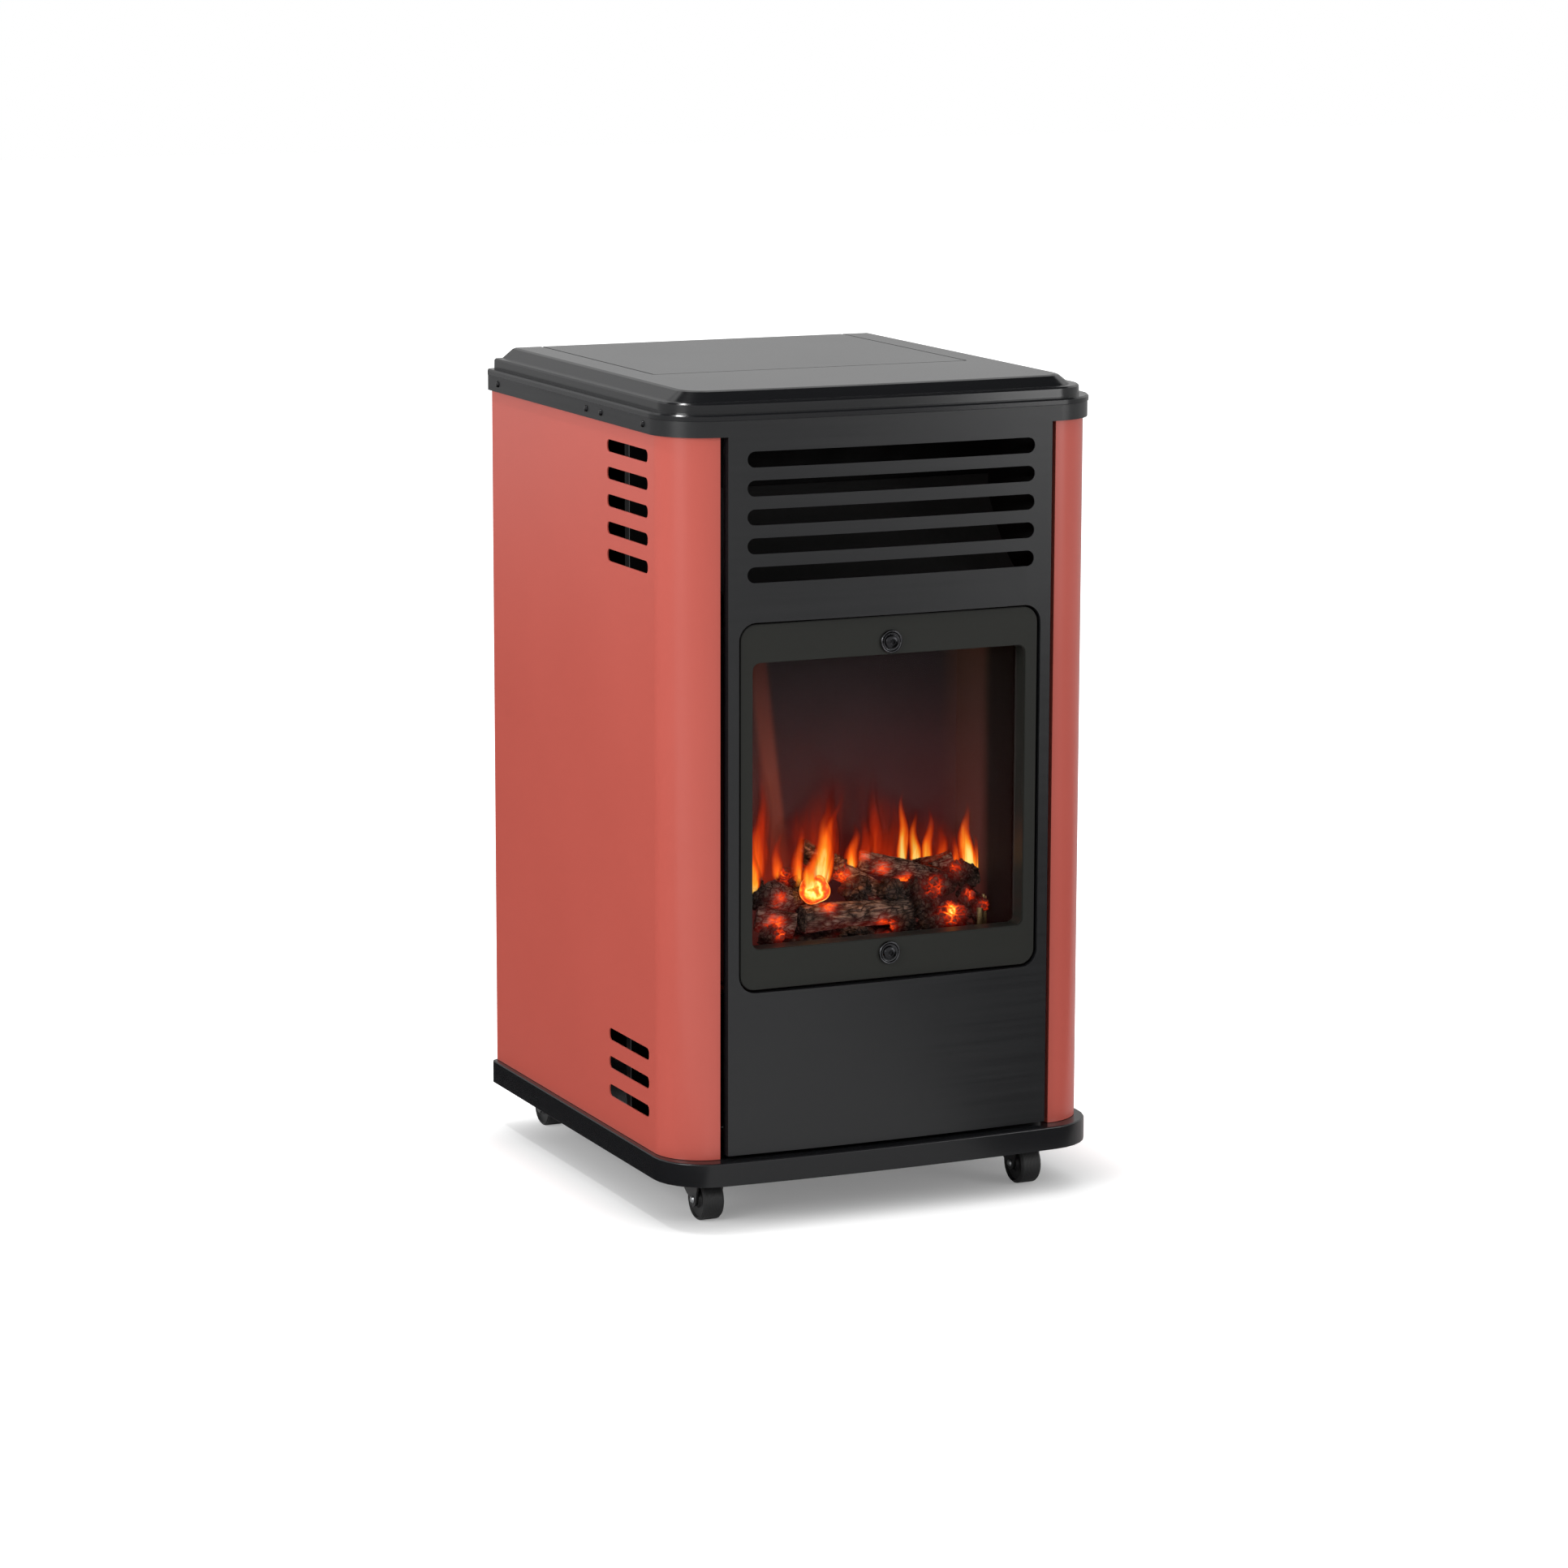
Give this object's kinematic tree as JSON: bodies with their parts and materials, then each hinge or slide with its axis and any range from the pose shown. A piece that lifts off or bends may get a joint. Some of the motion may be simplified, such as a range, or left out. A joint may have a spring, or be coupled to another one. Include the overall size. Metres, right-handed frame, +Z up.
{
  "type": "portable gas cabinet heater",
  "caption": "Portable gas cabinet heater on castors: steel cabinet, log-effect fire behind a framed glass, louvred front, hinged lid over the controls and a rear bay for the cylinder.",
  "frame": {"origin": "on the floor under the middle of the overall box", "axes": "+Z up, the front with the fire faces -Y, +X to the right as the front is faced"},
  "size_m": [0.4212, 0.45, 0.738],
  "materials": {
    "red_paint": "satin coral-red powder coat",
    "black_paint": "satin black powder coat",
    "frame_paint": "satin heat-proof dark grey",
    "fire_glass": "clear, glossy",
    "gasket_fibre": "woven glass-fibre tape",
    "sooted_steel": "heat-darkened sheet",
    "zinc_steel": "zinc-plated sheet",
    "dark_steel": "blackened",
    "log_fibre": "ceramic fibre, bark grain",
    "ember_fibre": "ceramic fibre lumps, charred",
    "black_plastic": "satin black",
    "red_plastic": "glossy",
    "brass": "machined"
  },
  "bodies": {
    "cabinet": {"base_pan": "black_paint", "front_left_castor_plate": "zinc_steel", "front_right_castor_plate": "zinc_steel", "rear_left_castor_plate": "zinc_steel", "rear_right_castor_plate": "zinc_steel", "left_side_panel": "red_paint", "right_side_panel": "red_paint", "front_fascia": "black_paint", "left_band_screw_front": "dark_steel", "left_band_screw_middle": "dark_steel", "left_band_screw_centre": "dark_steel", "left_band_screw_rear": "dark_steel", "right_band_screw_front": "dark_steel", "right_band_screw_middle": "dark_steel", "right_band_screw_centre": "dark_steel", "right_band_screw_rear": "dark_steel", "window_frame": "frame_paint", "window_gasket": "gasket_fibre", "window_glass": "fire_glass", "upper_cup_washer": "dark_steel", "upper_window_screw": "dark_steel", "lower_cup_washer": "dark_steel", "lower_window_screw": "dark_steel", "firebox": "sooted_steel", "burner_tray": "sooted_steel", "ember_bed": "ember_fibre", "pilot_assembly": "brass", "front_log": "log_fibre", "left_log": "log_fibre", "round_end_log": "log_fibre", "crossed_log": "log_fibre", "right_log": "log_fibre", "back_log": "log_fibre", "heat_shield": "zinc_steel", "heat_deflector": "sooted_steel", "top_cover": "black_paint", "lid_hinge_rod": "zinc_steel", "control_panel": "zinc_steel", "gas_valve": "brass", "igniter_body": "black_plastic", "hose_nozzle": "brass", "burner_supply_pipe": "brass", "rear_top_rail": "zinc_steel"},
    "lid": {"lid": "black_paint"},
    "stem": {"valve_stem": "zinc_steel"},
    "knob": {"control_knob": "black_plastic"},
    "button": {"igniter_button": "red_plastic"},
    "rear_cover": {"rear_cover": "black_paint"},
    "front_left_castor": {"front_left_castor_fork": "black_plastic", "front_left_castor_axle": "zinc_steel"},
    "front_left_wheel": {"front_left_castor_wheel": "black_plastic"},
    "front_right_castor": {"front_right_castor_fork": "black_plastic", "front_right_castor_axle": "zinc_steel"},
    "front_right_wheel": {"front_right_castor_wheel": "black_plastic"},
    "rear_left_castor": {"rear_left_castor_fork": "black_plastic", "rear_left_castor_axle": "zinc_steel"},
    "rear_left_wheel": {"rear_left_castor_wheel": "black_plastic"},
    "rear_right_castor": {"rear_right_castor_fork": "black_plastic", "rear_right_castor_axle": "zinc_steel"},
    "rear_right_wheel": {"rear_right_castor_wheel": "black_plastic"}
  },
  "joints": [
    {"name": "lid_hinge", "type": "hinge", "parent": "cabinet", "child": "lid", "pos_m": [0, 0.219, 0.7315], "axis": [-1, 0, 0], "range_deg": [0, 85]},
    {"name": "knob_push", "type": "slide", "parent": "cabinet", "child": "stem", "axis": [0, 0, -1], "range_m": [0, 0.003], "stiffness_N_per_m": 600, "springref_m": -0.004},
    {"name": "knob_turn", "type": "hinge", "parent": "stem", "child": "knob", "pos_m": [-0.062, 0.001, 0.7195], "axis": [0, 0, 1], "range_deg": [0, 210]},
    {"name": "igniter_press", "type": "slide", "parent": "cabinet", "child": "button", "axis": [0, 0, -1], "range_m": [0, 0.005], "stiffness_N_per_m": 600, "springref_m": -0.003},
    {"name": "rear_cover_off", "type": "slide", "parent": "cabinet", "child": "rear_cover", "axis": [0, 1, 0], "range_m": [0, 0.3]},
    {"name": "front_left_swivel", "type": "hinge", "parent": "cabinet", "child": "front_left_castor", "pos_m": [-0.157, -0.151, 0.05], "axis": [0, 0, 1], "continuous": true},
    {"name": "front_left_roll", "type": "hinge", "parent": "front_left_castor", "child": "front_left_wheel", "pos_m": [-0.157, -0.165, 0.019], "axis": [1, 0, 0], "continuous": true},
    {"name": "front_right_swivel", "type": "hinge", "parent": "cabinet", "child": "front_right_castor", "pos_m": [0.157, -0.151, 0.05], "axis": [0, 0, 1], "continuous": true},
    {"name": "front_right_roll", "type": "hinge", "parent": "front_right_castor", "child": "front_right_wheel", "pos_m": [0.157, -0.165, 0.019], "axis": [1, 0, 0], "continuous": true},
    {"name": "rear_left_swivel", "type": "hinge", "parent": "cabinet", "child": "rear_left_castor", "pos_m": [-0.157, 0.19, 0.05], "axis": [0, 0, 1], "continuous": true},
    {"name": "rear_left_roll", "type": "hinge", "parent": "rear_left_castor", "child": "rear_left_wheel", "pos_m": [-0.157, 0.204, 0.019], "axis": [1, 0, 0], "continuous": true},
    {"name": "rear_right_swivel", "type": "hinge", "parent": "cabinet", "child": "rear_right_castor", "pos_m": [0.157, 0.19, 0.05], "axis": [0, 0, 1], "continuous": true},
    {"name": "rear_right_roll", "type": "hinge", "parent": "rear_right_castor", "child": "rear_right_wheel", "pos_m": [0.157, 0.204, 0.019], "axis": [1, 0, 0], "continuous": true}
  ]
}
